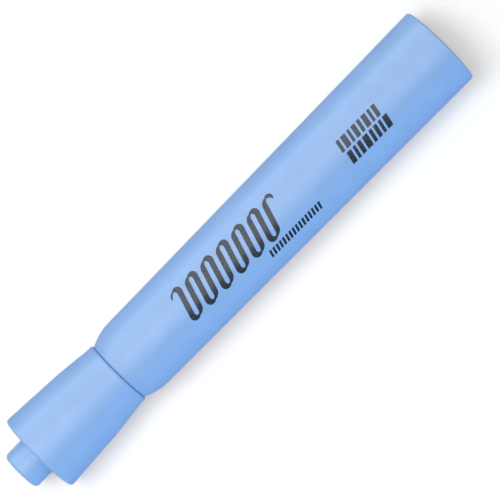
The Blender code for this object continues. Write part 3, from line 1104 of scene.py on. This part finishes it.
class HIGHLIGHTER_OT_stage(bpy.types.Operator):
    """Set up the white floor, the soft light and the camera above the pen"""

    bl_idname = "highlighter.stage"
    bl_label = "Stage"

    def execute(self, context):
        scene = context.scene
        studio = scene.highlighter_studio
        deselect_all()
        bpy.ops.mesh.primitive_plane_add(size=studio.floor_size, location=(0.0, 0.0, CAD_BOX[0].z))
        floor = context.object
        floor.name = "floor"
        # The floor's glow carries a painted shadow tint along the pen
        floor.data.materials.append(floor_with_painted_shadow_tint("floor_with_painted_shadow_tint", studio.floor_glow))
        floor.visible_glossy = False
        # Fills light the pen and leave the floor alone
        off_the_floor = bpy.data.collections.new("fill_receivers")
        off_the_floor.objects.link(floor)
        off_the_floor.collection_objects[0].light_linking.link_state = "EXCLUDE"

        world = bpy.data.worlds.new("soft_studio")
        world.use_nodes = True
        background = world.node_tree.nodes["Background"]
        background.inputs["Color"].default_value = (1.0, 1.0, 1.0, 1.0)
        background.inputs["Strength"].default_value = studio.surround
        scene.world = world

        white, warm = (1.0, 1.0, 1.0), (1.0, 0.97, 0.92)
        cool, blue = (0.40, 0.75, 1.0), (0.18, 0.60, 1.0)
        fill_distance, fill_size = 1.20, (0.96, 0.36)
        soft_light("key", 12.0, 0.60, (0.28, 0.30), studio.key, warm, toward_cap=14.0)
        soft_light("sky", 0.0, 0.90, (1.50, 1.50), studio.sky, warm)
        for name, lean, power, colour in (
            ("shade_fill", -74.0, studio.shade_fill, blue),
            ("lit_fill", 76.0, studio.lit_fill, cool),
        ):
            fill = soft_light(name, lean, fill_distance, fill_size, power, colour)
            fill.light_linking.receiver_collection = off_the_floor
        panel_height, panel_width, panel_shift = 0.80, 2.40, 0.6
        for name, lean, depth, power in (
            ("high_panel", 2.5, 0.70, studio.panel_high),
            ("far_panel", -38.0, 0.50, studio.panel_far),
            ("low_panel", 57.0, 0.92, studio.panel_low),
        ):
            size = (panel_width, depth)
            panel = soft_light(name, lean, panel_height, size, power, white, reflected=True)
            panel.location.x = panel_shift

        camera_data = bpy.data.cameras.new("camera")
        camera = bpy.data.objects.new("camera", camera_data)
        scene.collection.objects.link(camera)
        camera.location = (-studio.toward_tail, studio.toward_side, AXIS_Z + studio.distance)
        camera.rotation_euler = (0.0, 0.0, studio.turn)
        camera_data.lens = camera_data.sensor_width * studio.distance / studio.frame_width
        camera_data.clip_start, camera_data.clip_end = 0.01, 20.0
        scene.camera = camera
        scene.view_settings.view_transform = "Standard"
        return {"FINISHED"}


# ---------------------------------------------------------------- add-on


class HIGHLIGHTER_PT_sidebar(bpy.types.Panel):
    """Lists the pieces and their sizes in the 3D view's sidebar"""

    bl_idname = "HIGHLIGHTER_PT_sidebar"
    bl_label = "Capped Highlighter"
    bl_space_type = "VIEW_3D"
    bl_region_type = "UI"
    bl_category = "Highlighter"

    def draw(self, context):
        layout = self.layout
        for group in ("highlighter_sizes", "highlighter_colours", "highlighter_studio"):
            settings = getattr(context.scene, group)
            box = layout.box()
            for name in type(settings).__annotations__:
                box.prop(settings, name)
        for operator in BUILD_ORDER:
            layout.operator(operator.bl_idname)


BUILD_ORDER = (
    HIGHLIGHTER_OT_stage,
    HIGHLIGHTER_OT_barrel,
    HIGHLIGHTER_OT_tail_plug,
    HIGHLIGHTER_OT_reservoir,
    HIGHLIGHTER_OT_nose_section,
    HIGHLIGHTER_OT_nib,
    HIGHLIGHTER_OT_cap_shell,
    HIGHLIGHTER_OT_inner_cap,
    HIGHLIGHTER_OT_print,
)
GROUPS = {
    "highlighter_sizes": HighlighterSizes,
    "highlighter_colours": HighlighterColours,
    "highlighter_studio": HighlighterStudio,
}


def register():
    for group in GROUPS.values():
        bpy.utils.register_class(group)
    for name, group in GROUPS.items():
        setattr(bpy.types.Scene, name, PointerProperty(type=group))
    for operator in BUILD_ORDER:
        bpy.utils.register_class(operator)
    bpy.utils.register_class(HIGHLIGHTER_PT_sidebar)


def unregister():
    bpy.utils.unregister_class(HIGHLIGHTER_PT_sidebar)
    for operator in reversed(BUILD_ORDER):
        bpy.utils.unregister_class(operator)
    for name, group in GROUPS.items():
        delattr(bpy.types.Scene, name)
        bpy.utils.unregister_class(group)


def main():
    register()
    bpy.ops.highlighter.stage()
    bpy.ops.highlighter.barrel()
    bpy.ops.highlighter.tail_plug()
    bpy.ops.highlighter.reservoir()
    bpy.ops.highlighter.nose_section()
    bpy.ops.highlighter.nib()
    bpy.ops.highlighter.cap_shell()
    bpy.ops.highlighter.inner_cap()
    bpy.ops.highlighter.print()


if __name__ == "__main__":
    main()
